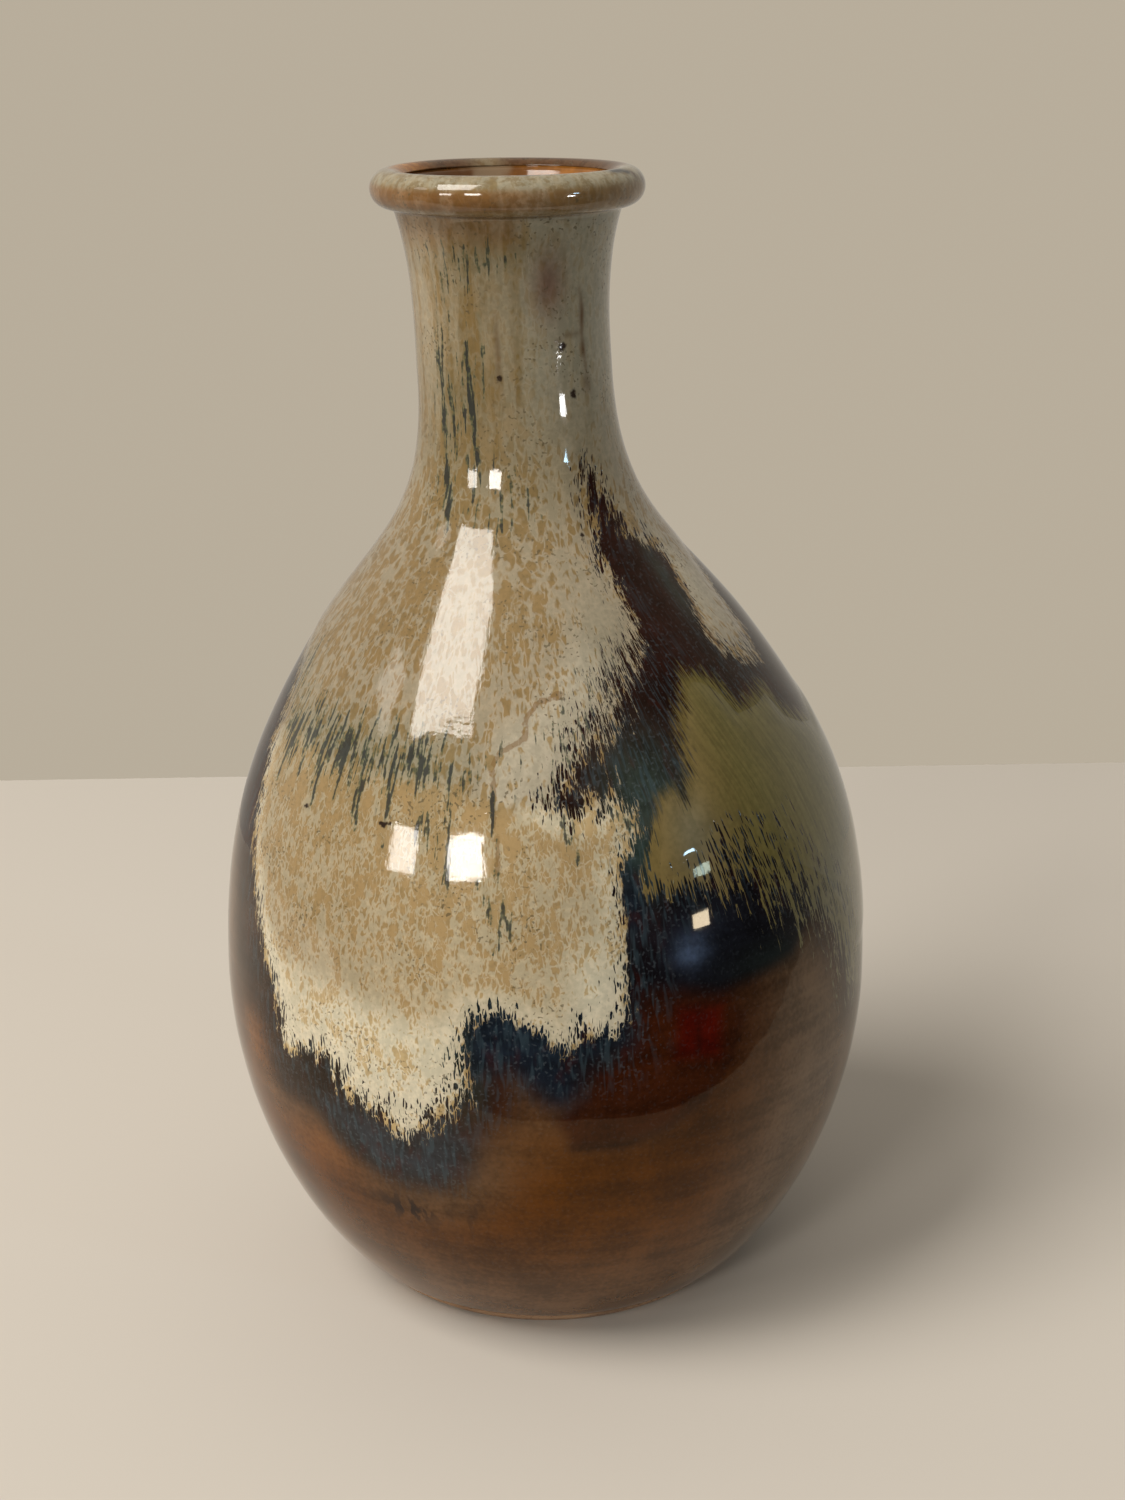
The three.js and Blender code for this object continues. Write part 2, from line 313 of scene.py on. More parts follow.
def ground_colour():
    """The iron glaze, amber below and darkening to maroon and blue-black under the pours, with painted
    reflections.
    """
    near = near_pour()
    behind = smooth(np.abs(AZIMUTH), 66, 96)
    sag = behind * (7 * np.sin(np.radians(2 * AZIMUTH + 40)) + 4 * np.sin(np.radians(5 * AZIMUTH)))
    left_halo = [(-70, 108), (-68, 84), (-62, 75), (-57, 66), (-52, 62), (-45, 60), (-40, 54), (-33, 48),
                 (-25, 46), (-18, 48), (-15, 52), (-13, 62), (-13, 72), (-30, 90), (-50, 100)]
    middle_halo = [(-14, 92), (-13, 75), (-9, 78), (-6, 78), (-3, 74), (0, 70), (3, 69), (5, 72), (6, 78),
                   (14, 82), (14, 95)]
    gloss = [(13, 122), (13, 92), (18, 94), (24, 92), (29, 90), (38, 91), (46, 92), (51, 98), (56, 104),
             (50, 122), (30, 124)]
    pool = [(1, 66), (4, 60), (12, 60), (20, 63), (26, 68), (31, 76), (33, 84), (31, 92), (26, 97), (20, 94),
            (14, 88), (12, 80), (7, 74)]
    red_spot = [(21, 78), (29, 76), (29.5, 87), (21.5, 88.5)]
    pool_rim = [(4, 60), (12, 59.5), (20, 62.5), (26, 67.5), (31, 75), (33.5, 84)]
    blue_pool = [(-40, 62), (-36, 55), (-29, 50), (-20, 49), (-14, 53), (-12, 62), (-18, 64), (-24, 58),
                 (-32, 63)]
    window = [(30, 158), (34, 191), (46, 188), (62, 174), (60, 158), (70, 150), (80, 160), (84, 150),
              (76, 134), (64, 145), (50, 146), (40, 152), (33, 146), (30, 130), (14, 136), (16, 146)]
    return painted(AMBER, [
        (smooth(LEVEL, 50, 2) * 0.7, UMBER),
        (blob(5, 42, 26, 20) * 0.5, GOLDEN),
        # Painted reflection: a pale patch low on the right, the pale floor reflected in the glaze.
        (smooth(AZIMUTH, 24, 52) * smooth(-AZIMUTH, -120, -90) * smooth(LEVEL, 98, 84) * 0.72, FLOOR_REFLECTION),
        (smooth(near, -30, -12), UMBER * 0.8),
        (smooth(near, -20, -6), MAROON),
        (smooth(near, -9, 0) * 0.8, TEAL),
        (smooth(LEVEL + sag, 96, 112), MAROON),
        (blob(-44, 50, 20, 8) * 0.5, RUST),
        (area(left_halo, 5), SLATE),
        (blob(-62, 90, 9, 22), VIOLET),
        (blob(-61, 66, 6, 9) * 0.7, RUST),
        (area(blue_pool, 5) * 0.7, DUSK),
        (blob(-2, 60, 8, 10) * 0.6, GOLDEN),
        (blob(20, 82, 18, 20) * 0.75, MAROON),
        (area(pool, 2) * 0.9, RED_BROWN),
        (blob(22, 94, 12, 5) * 0.8, MAROON * 0.6),
        (stroke(pool_rim, 1.3) * 0.6, MAROON * 0.8),
        (blob(23, 81, 11, 12) * 0.7, RED_BROWN * 1.5),
        (area(red_spot, 2.2) * 0.85, BLOOD),
        (stroke([(25, 77), (25.5, 87.5)], 0.7) * 0.4, MAROON),
        (area(middle_halo, 4) * 0.95, NAVY),
        (area(gloss, 2.5), NIGHT),
        (blob(17, 108, 4, 10) * 0.5, MAROON * 0.7),
        # Painted reflection: a small blue spot with a faint surround, a light reflected in the glaze.
        (blob(24.5, 100, 2.8, 3) * 0.9 + blob(27, 101, 8, 7) * 0.08, BLUE_REFLECTION),
        (blob(40, 94, 9, 4) * 0.35, TEAL * 0.6),
        (area(window, 3), MAROON),
        (blob(24, 146, 9, 7) * 0.6, MAROON * 0.5),
        (blob(21, 133, 10, 10) * 0.75, TEAL * 1.25),
        (blob(17, 122, 4, 9) * 0.8, TEAL * 1.3),
        (blob(15, 112, 3, 8) * 0.8, NAVY),
        (blob(54, 166, 4, 12) * 0.5, TEAL),
        (blob(55, 150, 10, 5) * 0.5, SLATE * 0.7),
    ])


def pale_colour():
    """The light tone of the cream and tan pours, before their spots. Their left side carries painted shade.
    """
    lip_back = ON_BEAD * smooth(BEAD_ANGLE, 84, 100) * smooth(np.abs(AZIMUTH), 78, 96)
    white_band = area([(-58, 96), (-50, 92), (-30, 88), (-15, 86), (-15, 70), (-24, 58), (-52, 70)], 5)
    return painted(CREAM, [
        (smooth(LEVEL, 168, 196) * 0.7, STRAW),
        (blob(-56, 226, 20, 18) * 0.9, CREAM * 1.15),
        (smooth(AZIMUTH, -6, 16) * smooth(LEVEL, 185, 215), GREY_CREAM),
        (area([(-12, 128), (-2, 128), (6, 136), (14, 145), (22, 153), (14, 160), (4, 152), (-10, 142)], 4),
         CHALK),
        (smooth(turn_from(-40), -34, -24) * smooth(-turn_from(-40), -32, -22) * blob(-40, 138, 60, 7) * 0.8,
         GREY_CREAM),
        (BLOCK, SAND),
        # Painted shade: the tan block and the cream under the neck are darker on the left, the side the
        # windows light.
        (BLOCK * smooth(AZIMUTH, -10, -44) * 0.62, SAND * 0.68),
        (smooth(AZIMUTH, -16, -50) * (1 - BLOCK) * smooth(LEVEL, 186, 172) * 0.4, CREAM * 0.62),
        (white_band, BONE),
        (blob(-47, 92, 10, 20) * 0.32 + blob(5, 114, 8, 14) * 0.6, SAND * 0.82),
        (blob(8, 94, 5, 11), BONE),
        (smooth(PALE, 7, 1) * BLOCK * 0.7, BONE),
        (blob(20, 160, 9, 12) * 0.6, GREY_CREAM * 0.8),
        (blob(66, 164, 13, 18) * 0.9, CHALK),
        (blob(22, 228, 10, 7) * 0.95, SMUDGE),
        (smooth(LEVEL, 233, 239) * smooth(-AZIMUTH, -12, 0) * 0.5, RIM_BROWN),
        (ON_BEAD, GREY_CREAM),
        (on_rim(-60, 95, 60, 22) * 0.2, RIM_BROWN),
        (ON_BEAD * smooth(BEAD_ANGLE, 34, 6) * (0.9 - 0.35 * smooth(AZIMUTH, -20, 40)), RIM_BROWN),
        (ON_BEAD * smooth(BEAD_ANGLE, -32, -52) * 0.6, GREY_CREAM),
        (ON_BEAD * smooth(BEAD_ANGLE, -62, -84), UMBER),
        (lip_back, linear(186, 122, 42)),
        (lip_back * smooth(turn_from(-125), 15, -15), linear(92, 64, 40)),
        (lip_back * blob(-168, 240, 9, 90), linear(132, 116, 90)),
        (on_rim(60, 76, 6, 15) * 1.6 + on_rim(66, 58, 3, 9), NAVY),
        (on_rim(10, 91, 5, 7) * 1.3, NAVY),
        (on_rim(70, 46, 2, 15) + on_rim(78, 26, 2, 18), RUST * 0.4),
    ])


def spot_density():
    """How much of the pale pours is ochre."""
    chalky = [(-12, 128), (-2, 128), (6, 136), (16, 147), (30, 160), (30, 176), (24, 178), (16, 166),
              (4, 152), (-10, 142)]
    density = 0.4 + 0.2 * blob(-4, 165, 9, 10) + 0.25 * blob(-20, 202, 12, 14)
    density -= 0.34 * blob(-54, 224, 18, 20)
    density += 0.2 * blob(-35, 190, 14, 8) + 0.1 * blob(-50, 160, 26, 20) + 0.35 * blob(-8, 236, 26, 4)
    density += 0.1 * smooth(LEVEL, 150, 160) * smooth(-AZIMUTH, 20, 50)
    density -= 0.12 * blob(-30, 146, 30, 5) + 0.2 * blob(-2, 218, 9, 22)
    density *= 1 - smooth(AZIMUTH, 0, 24) * smooth(LEVEL, 176, 194) * 0.75
    density *= 1 - np.clip(area(chalky, 5) + blob(22, 150, 14, 24) + blob(66, 162, 16, 20), 0, 1) * 0.96
    block = 0.58 - 0.4 * smooth(LEVEL, 112, 88) - 0.35 * smooth(PALE, 8, 1)
    block = block + 0.3 * blob(-42, 127, 30, 6) + 0.3 * blob(8, 124, 7, 5)
    density = density * (1 - BLOCK) + block * BLOCK
    on_rim_band = 0.15 + 0.45 * smooth(BEAD_ANGLE, 44, 10)
    return np.clip(density * (1 - ON_BEAD) + on_rim_band * ON_BEAD, 0, 1)


def dark_density():
    """How much of the pale pours is broken by blue-green streaks and dark dots."""
    streaks = [
        (-27, 228, 2, 4), (-23, 231, 1.2, 3), (-36, 207, 3, 5), (-26, 203, 2.5, 6),
        (-64, 136, 3.5, 5), (-61, 131, 2, 5), (-50, 132, 2.2, 7), (-44, 137, 2, 4), (-38, 130, 1.8, 6),
        (-31, 131, 1.0, 7), (-26, 137, 3, 4), (-21, 128, 2, 8), (-18, 119, 1.6, 6), (-47, 214, 3, 4),
    ]
    density = 0.45 * blob(-42, 138, 34, 7) + 0.2 * smooth(PALE, 14, 3) * blob(14, 148, 18, 20)
    density += 0.35 * blob(-74, 147, 9, 7) + 0.08 * smooth(PALE, 4, 0) * BLOCK
    density += 0.3 * blob(-20, 233, 28, 4) + 0.16 * blob(-36, 205, 22, 24)
    density += 0.2 * blob(-14, 184, 30, 8)
    for streak in streaks:
        density += 0.32 * blob(*streak)
    lines = [
        ([(-47, 214), (-45, 203), (-44, 195), (-42, 190), (-38, 185), (-36, 178)], 0.85),
        ([(-40, 210), (-38, 200), (-36, 192)], 0.35),
        ([(-27, 216), (-26, 206), (-25, 199), (-23, 192)], 0.7),
        ([(-18, 222), (-17, 212), (-18, 203)], 0.35),
        ([(-31, 208), (-30, 198)], 0.35),
        ([(-29.5, 74), (-29.5, 68)], 0.5),
        ([(-9, 132), (-8.5, 124), (-8.6, 116)], 0.5),
        ([(-11, 117), (-9, 110), (-8, 103)], 0.8),
        ([(-8, 118), (-7, 112), (-5.5, 106)], 0.7),
        ([(4, 128), (5, 124), (6, 120)], 0.7),
        ([(13, 129), (15, 127.5), (17, 126)], 0.8),
    ]
    tails = [(-64, 126), (-57, 129), (-50, 124), (-44, 127), (-38, 123), (-31, 121), (-24, 117), (-18, 113)]
    for turn, low in tails:
        density += 0.5 * stroke([(turn, 137), (turn + 1.5, low)], 0.65)
    for line, half_width in lines:
        density += 0.62 * stroke(line, half_width)
    return np.clip(density, 0, 0.74)


def vein_mask():
    vein = [(6, 150), (1, 149), (-2.5, 146), (-2.5, 142.5), (-8, 140), (-9.5, 137.5), (-9, 132), (-8.5, 126),
            (-8, 118)]
    tongue_line = [(62, 171), (58, 162), (55, 157), (57, 153)]
    branch = [(5, 150), (9, 143)]
    return stroke(vein, 0.65) + 0.9 * stroke(tongue_line, 1.0) + 0.5 * stroke(branch, 0.6)


def dark_spots():
    spots = [
        (29.5, 215, 2.6, 1.3), (35, 205, 2.8, 1.4), (-8, 209, 2.4, 1.0), (25, 177, 1.4, 1.1),
        (-50, 124, 0.9, 0.9), (-30, 125, 1.4, 1.0), (-72, 90, 0.8, 0.8), (-55, 60, 0.7, 0.7),
    ]
    return sum(blob(*spot) for spot in spots)


def brown_spots():
    spots = [(46, 207, 3.5, 2.2), (44, 221, 2.2, 3), (44, 214, 2.4, 1.6), (-8, 215, 1.6, 7)]
    lines = [[(42, 227), (45, 222), (44, 217), (46, 210)], [(26, 216), (34, 217.5), (42, 217)]]
    return sum(blob(*spot) for spot in spots) + 0.8 * sum(stroke(line, 0.5) for line in lines)


def pale_fray():
    """How far the edge of the pale pours breaks up, as an amplitude in millimetres."""
    fray = 14 + 24 * blob(18, 146, 15, 15) + 5 * blob(29, 168, 6, 14) + 12 * blob(-25, 66, 16, 8)
    fray += 8 * blob(68, 150, 8, 5) + 10 * blob(-72, 142, 12, 8)
    fray -= 6 * blob(58, 164, 5, 9) + 8 * blob(13, 106, 4, 14)
    return fray


def olive_fray():
    """Long feathered streaks below, and a quiet edge above."""
    low = smooth(133 - 0.2 * np.abs(turn_from(60)) - LEVEL, 0, 10)
    feathered = smooth(AZIMUTH, 23, 36)
    return 3 + 6 * feathered + low * (8 + 36 * feathered) + 6 * blob(22, 116, 9, 8)


def blur():
    """How soft the olive pour's edge is: sharp streaks below, a soft blend above."""
    return 0.7 + 1.6 * smooth(LEVEL, 122, 134)


def haze():
    """How much fine blue streaking floats in the dark glaze."""
    near = near_pour()
    density = smooth(near, -16, -3) * 0.8
    left_pool = [(-46, 66), (-38, 54), (-28, 47), (-15, 48), (-12, 66), (-30, 72)]
    density = np.maximum(density, area(left_pool, 5))
    density = np.maximum(density, blob(-3, 80, 9, 7) * 0.9)
    density = np.maximum(density, blob(20, 134, 12, 13))
    return density * (1 - area([(30, 158), (34, 190), (60, 174), (56, 150), (40, 152)], 4) * 0.4)


def crackle():
    """Dark crackle in the rust glaze, and the run of darker glaze at the front."""
    line = [(-9, 55), (-11, 50), (-14, 40), (-18, 25), (-20, 15)]
    return blob(-26, 40, 6, 4) + 0.35 * stroke(line, 1.6)


def olive_reflection():
    """Where the olive pour is greyer: low down and towards its right edge, a painted reflection of the pale
    floor.
    """
    low = smooth(LEVEL, 116, 96) * smooth(AZIMUTH, 34, 58)
    return np.clip(low + 0.9 * blob(28, 122, 4.5, 9) + 0.5 * smooth(AZIMUTH, 52, 76), 0, 1)


def flow_vector():
    """Coordinates for streaks: round a cylinder, and along the wall. They slant on the right side."""
    slant = 0.18 * (LEVEL - 105) * smooth(AZIMUTH, 10, 34)
    slant = slant + 0.16 * (np.clip(LEVEL, 128, 178) - 128) * smooth(AZIMUTH, -2, 30)
    turn = np.radians(AZIMUTH + slant * smooth(-AZIMUTH, -120, -90) * smooth(-LEVEL, -200, -160))
    along = np.broadcast_to(LENGTH, turn.shape)
    return np.stack([FLOW_RADIUS * np.sin(turn), -FLOW_RADIUS * np.cos(turn), along], axis=-1)


def channels(*layers):
    shape = (len(STATIONS), COLUMNS)
    return np.stack([np.broadcast_to(layer, shape) for layer in layers], axis=-1)


WALL_PAINT = {
    "flow": flow_vector(),
    "edges": channels(PALE, OLIVE_IN, blur()),
    "fray": channels(pale_fray(), olive_fray(), BLOCK),
    "spots": channels(spot_density(), dark_density(), vein_mask()),
    "marks": channels(dark_spots(), brown_spots(), haze()),
    "crackle_gold_and_reflection": channels(crackle(), smooth(AZIMUTH, 46, 28), olive_reflection()),
    "ground": ground_colour(),
    "pale": pale_colour(),
}


# ---- Meshes
def lean_shift(height):
    return LEAN_OFFSET * smooth(height, LEAN_START, LEAN_END)


def placed(radius, height, azimuth):
    """Millimetre radii, heights and azimuths as points in metres."""
    turn = np.radians(azimuth)
    x = radius * np.sin(turn) - lean_shift(height)
    y = -radius * np.cos(turn)
    return np.stack(np.broadcast_arrays(x, y, height), axis=-1) * MM


def ripple():
    """The thrower's spiral and a slightly uneven wall, always inwards."""
    fade = smooth(LEVEL, 8, 30) * (1 - ON_BEAD)
    spiral = np.sin(2 * math.pi * (LENGTH / 13.5 - AZIMUTH / 360)) * 0.012 * fade
    slow = np.sin(2 * math.pi * (LENGTH / 37 + AZIMUTH / 360) + 1.3) * 0.02 * fade
    oval = 0.05 * np.cos(2 * np.radians(AZIMUTH - 40))
    wobble = 0.04 * np.cos(3 * np.radians(AZIMUTH) + 0.7) * ON_BEAD
    return spiral + slow + oval + wobble - 0.14


RIPPLE = ripple()
BASE_DEPTH = -COVER * smooth(LEVEL, 108, 150) + RIPPLE


def wall_points(depth):
    """The wall moved out along its normal by depth, as an array of rows and columns of points."""
    radius = RADIUS + NORMAL[:, :1] * depth
    height = LEVEL + NORMAL[:, 1:] * depth
    return placed(radius, height, AZIMUTH)


def without_corner_contacts(mask):
    """Adds faces until no two of the mask's faces touch only at a corner."""
    while True:
        right = np.roll(mask, -1, axis=1)
        a, b, c, d = mask[:-1], right[:-1], mask[1:], right[1:]
        touching = (a & d & ~b & ~c) | (b & c & ~a & ~d)
        if not touching.any():
            return mask
        mask = mask.copy()
        mask[:-1] |= touching
        mask[1:] |= touching


def add_mesh(name, points, faces, paint=None):
    mesh = bpy.data.meshes.new(name)
    mesh.from_pydata(points.tolist(), [], faces.tolist() if isinstance(faces, np.ndarray) else faces)
    mesh.polygons.foreach_set("use_smooth", np.ones(len(mesh.polygons), bool))
    for key, values in (paint or {}).items():
        coloured = key in ("ground", "pale")
        if coloured:
            values = np.concatenate([values, np.ones((len(values), 1))], axis=1)
        layer = mesh.attributes.new(key, "FLOAT_COLOR" if coloured else "FLOAT_VECTOR", "POINT")
        layer.data.foreach_set("color" if coloured else "vector", values.astype(np.float32).ravel())
    mesh.update()
    piece = bpy.data.objects.new(name, mesh)
    bpy.context.scene.collection.objects.link(piece)
    return piece


def shell_from_wall(name, mask, outer_depth, inner_depth):
    """A closed thin shell over the masked faces of the wall, with its paint."""
    rows, columns = len(STATIONS), COLUMNS
    index = np.arange(rows * columns).reshape(rows, columns)
    right = np.roll(index, -1, axis=1)
    corners = np.stack([index[:-1], right[:-1], right[1:], index[1:]], axis=-1)[mask]
    inner = corners[:, ::-1] + rows * columns
    edges = np.concatenate([corners[:, [side, (side + 1) % 4]] for side in range(4)])
    there = edges[:, 0] * rows * columns + edges[:, 1]
    back = edges[:, 1] * rows * columns + edges[:, 0]
    rim = edges[~np.isin(back, there)]
    bottom = rim + rows * columns
    inner = np.concatenate([inner, np.stack([rim[:, 1], rim[:, 0], bottom[:, 0], bottom[:, 1]], axis=1)])
    faces = np.concatenate([corners, inner])
    used, renumbered = np.unique(faces, return_inverse=True)
    points = np.concatenate([
        wall_points(outer_depth).reshape(-1, 3), wall_points(inner_depth).reshape(-1, 3)])[used]
    source = used % (rows * columns)
    paint = {key: layer.reshape(-1, layer.shape[-1])[source] for key, layer in WALL_PAINT.items()}
    return add_mesh(name, points, renumbered.reshape(faces.shape), paint)


def coat(name, region, build):
    """A poured glaze. It swells inside the pours' common edge and dips at its own, so seams lie flush."""
    lift = build * smooth(near_pour(), -0.4, 5) - 0.06 - 0.03 * smooth(region, -0.4, -1.6)
    reach = region > -3.2
    beside = reach & np.roll(reach, -1, axis=1)
    mask = without_corner_contacts(beside[:-1] & beside[1:])
    return shell_from_wall(name, mask, BASE_DEPTH + lift, BASE_DEPTH - 0.55 * build)


def base_glaze():
    mask = np.ones((len(STATIONS) - 1, COLUMNS), bool)
    mask[: np.argmax(PROFILE[:, 1] > GLAZE_LINE)] = False
    rolled = 0.35 * np.exp(-((LEVEL - GLAZE_LINE) / 1.5) ** 2)
    return shell_from_wall("glaze_base", mask, BASE_DEPTH - rolled, BASE_DEPTH - GLAZE_THICKNESS)


def turned(name, profile, columns=144):
    """A closed solid turned from a profile whose two ends lie on the axis or meet each other."""
    azimuth = np.arange(columns)[None, :] * (360 / columns)
    on_axis = profile[0][0] < 1e-6
    rows = profile[1:-1] if on_axis else profile
    points = placed(rows[:, :1], rows[:, 1:], azimuth).reshape(-1, 3)
    index = np.arange(len(rows) * columns).reshape(len(rows), columns)
    right = np.roll(index, -1, axis=1)
    if on_axis:
        faces = np.stack([index[:-1], right[:-1], right[1:], index[1:]], axis=-1).reshape(-1, 4).tolist()
        poles = placed(np.zeros(2), profile[[0, -1], 1], np.zeros(2))
        points = np.concatenate([points, poles])
        first, last = len(points) - 2, len(points) - 1
        faces += [[first, b, a] for a, b in zip(index[0], right[0])]
        faces += [[last, a, b] for a, b in zip(index[-1], right[-1])]
        faces = [[int(k) for k in face] for face in faces]
    else:
        below = np.concatenate([index, index[:1]])
        beside = np.concatenate([right, right[:1]])
        faces = np.stack([below[:-1], beside[:-1], beside[1:], below[1:]], axis=-1).reshape(-1, 4)
    return add_mesh(name, points, faces)


def hollow_curve(depth):
    """The inside of the vase from the lip to the middle of its floor, sunk by depth into the clay."""
    lip = np.radians(LIP_ANGLE)
    lip_point = BEAD_CENTRE + (BEAD_RADIUS - COVER) * np.array((math.cos(lip), math.sin(lip)))
    inward = np.array((-math.sin(lip), math.cos(lip)))
    throat = bezier([lip_point, lip_point + 9 * inward, (THROAT_RADIUS, THROAT_HEIGHT + 16),
                     (THROAT_RADIUS, THROAT_HEIGHT)], 24)
    body = (PROFILE[:, 1] > 27) & (PROFILE[:, 1] < THROAT_HEIGHT - 6)
    inside = (PROFILE - NORMAL * (WALL_THICKNESS + 1.2))[body][::-6]
    floor = np.array([(42, 12.2), (36, 9.8), (30, 9), (15, 9), (0, 9)], float)
    curve = np.concatenate([throat, inside, floor])
    tangent = np.gradient(curve, axis=0)
    tangent /= np.linalg.norm(tangent, axis=1)[:, None]
    sunk = curve + depth * np.stack([-tangent[:, 1], tangent[:, 0]], axis=1)
    sunk[-1, 0] = 0
    return sunk


def clay_body():
    """The thrown wall with its foot ring, and the turned recess with its tool rings."""
    outer = PROFILE - NORMAL * (GLAZE_THICKNESS + COVER + 0.2)
    outer = outer[PROFILE[:, 1] > GLAZE_LINE - 0.3][::3]
    bare = PROFILE[(PROFILE[:, 1] > 0.5) & (PROFILE[:, 1] < GLAZE_LINE - 0.6)] - NORMAL[:1] * 0.3
    inner = hollow_curve(GLAZE_THICKNESS + 0.15)
    ring_inner = FOOT_RADIUS - FOOT_RING
    rings = np.linspace(0.5, ring_inner - 2, 60)
    tooled = FOOT_RECESS + 0.16 * np.sin(rings * 2.1) + 0.5 * (rings / ring_inner) ** 2 - 0.4
    recess = np.stack([rings, tooled], axis=1)
    foot = np.array([(ring_inner - 0.6, 1.6), (ring_inner, 0.5), (ring_inner + 0.6, 0.05),
                     (ring_inner + 1.6, 0), (FOOT_RADIUS - 1.6, 0), (FOOT_RADIUS - 0.7, 0.08),
                     (FOOT_RADIUS - 0.1, 0.4)])
    return np.concatenate([[(0, tooled[0])], recess, foot, bare, outer, inner])


# ---- Nodes
class Nodes:
    """Short calls that add shader nodes to a tree and return their output sockets."""

    def __init__(self, tree):
        self.tree = tree

    def add(self, kind, **settings):
        node = self.tree.nodes.new(kind)
        for key, value in settings.items():
            setattr(node, key, value)
        return node

    def plug(self, socket, value):
        if isinstance(value, bpy.types.NodeSocket):
            self.tree.links.new(value, socket)
        elif isinstance(value, (int, float)):
            socket.default_value = value
        else:
            numbers = [float(number) for number in value]
            wanted = len(socket.default_value)
            socket.default_value = numbers + [1.0] * (wanted - len(numbers))

    def math(self, operation, *values):
        node = self.add("ShaderNodeMath", operation=operation)
        for socket, value in zip(node.inputs, values):
            self.plug(socket, value)
        return node.outputs[0]

    def times(self, first, second):
        return self.math("MULTIPLY", first, second)

    def minus(self, first, second):
        return self.math("SUBTRACT", first, second)

    def fused(self, first, second, third):
        """first * second + third"""
        return self.math("MULTIPLY_ADD", first, second, third)

    def scaled(self, vector, factors):
        node = self.add("ShaderNodeVectorMath", operation="MULTIPLY")
        self.plug(node.inputs[0], vector)
        self.plug(node.inputs[1], factors)
        return node.outputs[0]

    def noise(self, vector, scale=1.0, detail=1.0, roughness=0.5, distortion=0.0):
        node = self.add("ShaderNodeTexNoise")
        self.plug(node.inputs["Vector"], vector)
        for key, value in (("Scale", scale), ("Detail", detail), ("Roughness", roughness),
                           ("Distortion", distortion)):
            node.inputs[key].default_value = value
        return node.outputs["Fac"]

    def step(self, value, low, high, to_low=0.0, to_high=1.0):
        node = self.add("ShaderNodeMapRange", interpolation_type="SMOOTHSTEP")
        for key, number in (("Value", value), ("From Min", low), ("From Max", high), ("To Min", to_low),
                            ("To Max", to_high)):
            self.plug(node.inputs[key], number)
        return node.outputs[0]

    def mix(self, share, first, second, blend="MIX"):
        node = self.add("ShaderNodeMix", data_type="RGBA", blend_type=blend)
        self.plug(node.inputs["Factor"], share)
        self.plug(node.inputs[6], first)
        self.plug(node.inputs[7], second)
        return node.outputs[2]

    def tinted(self, colour, tint):
        return self.mix(1.0, colour, tint, blend="MULTIPLY")

    def blend(self, share, first, second):
        node = self.add("ShaderNodeMix", data_type="FLOAT")
        self.plug(node.inputs[0], share)
        self.plug(node.inputs[2], first)
        self.plug(node.inputs[3], second)
        return node.outputs[0]

    def wandering(self, vector, bend):
        """The coordinates pushed about by a slow noise."""
        drift = self.add("ShaderNodeTexNoise")
        self.plug(drift.inputs["Vector"], vector)
        drift.inputs["Scale"].default_value = 0.9
        drift.inputs["Detail"].default_value = 2.0
        node = self.add("ShaderNodeVectorMath", operation="MULTIPLY_ADD")
        self.plug(node.inputs[0], drift.outputs["Color"])
        self.plug(node.inputs[1], [bend * 2] * 3)
        self.plug(node.inputs[2], vector)
        return node.outputs[0]

    def cell_walls(self, vector):
        node = self.add("ShaderNodeTexVoronoi", feature="DISTANCE_TO_EDGE")
        self.plug(node.inputs["Vector"], vector)
        node.inputs["Scale"].default_value = 1.0
        return node.outputs["Distance"]

    def place(self):
        """The object's own coordinates in millimetres."""
        return self.scaled(self.add("ShaderNodeTexCoord").outputs["Object"], [1 / MM] * 3)

    def attribute(self, name):
        return self.add("ShaderNodeAttribute", attribute_name=name)

    def three(self, name):
        node = self.add("ShaderNodeSeparateXYZ")
        self.plug(node.inputs[0], self.attribute(name).outputs["Vector"])
        return node.outputs


def noise_level(nodes, density):
    """The level that about this share of a noise rises above."""
    return nodes.fused(density, -0.42, 0.72)


def density_step(nodes, value, density, softness):
    level = noise_level(nodes, density)
    return nodes.step(value, nodes.minus(level, softness), nodes.math("ADD", level, softness))


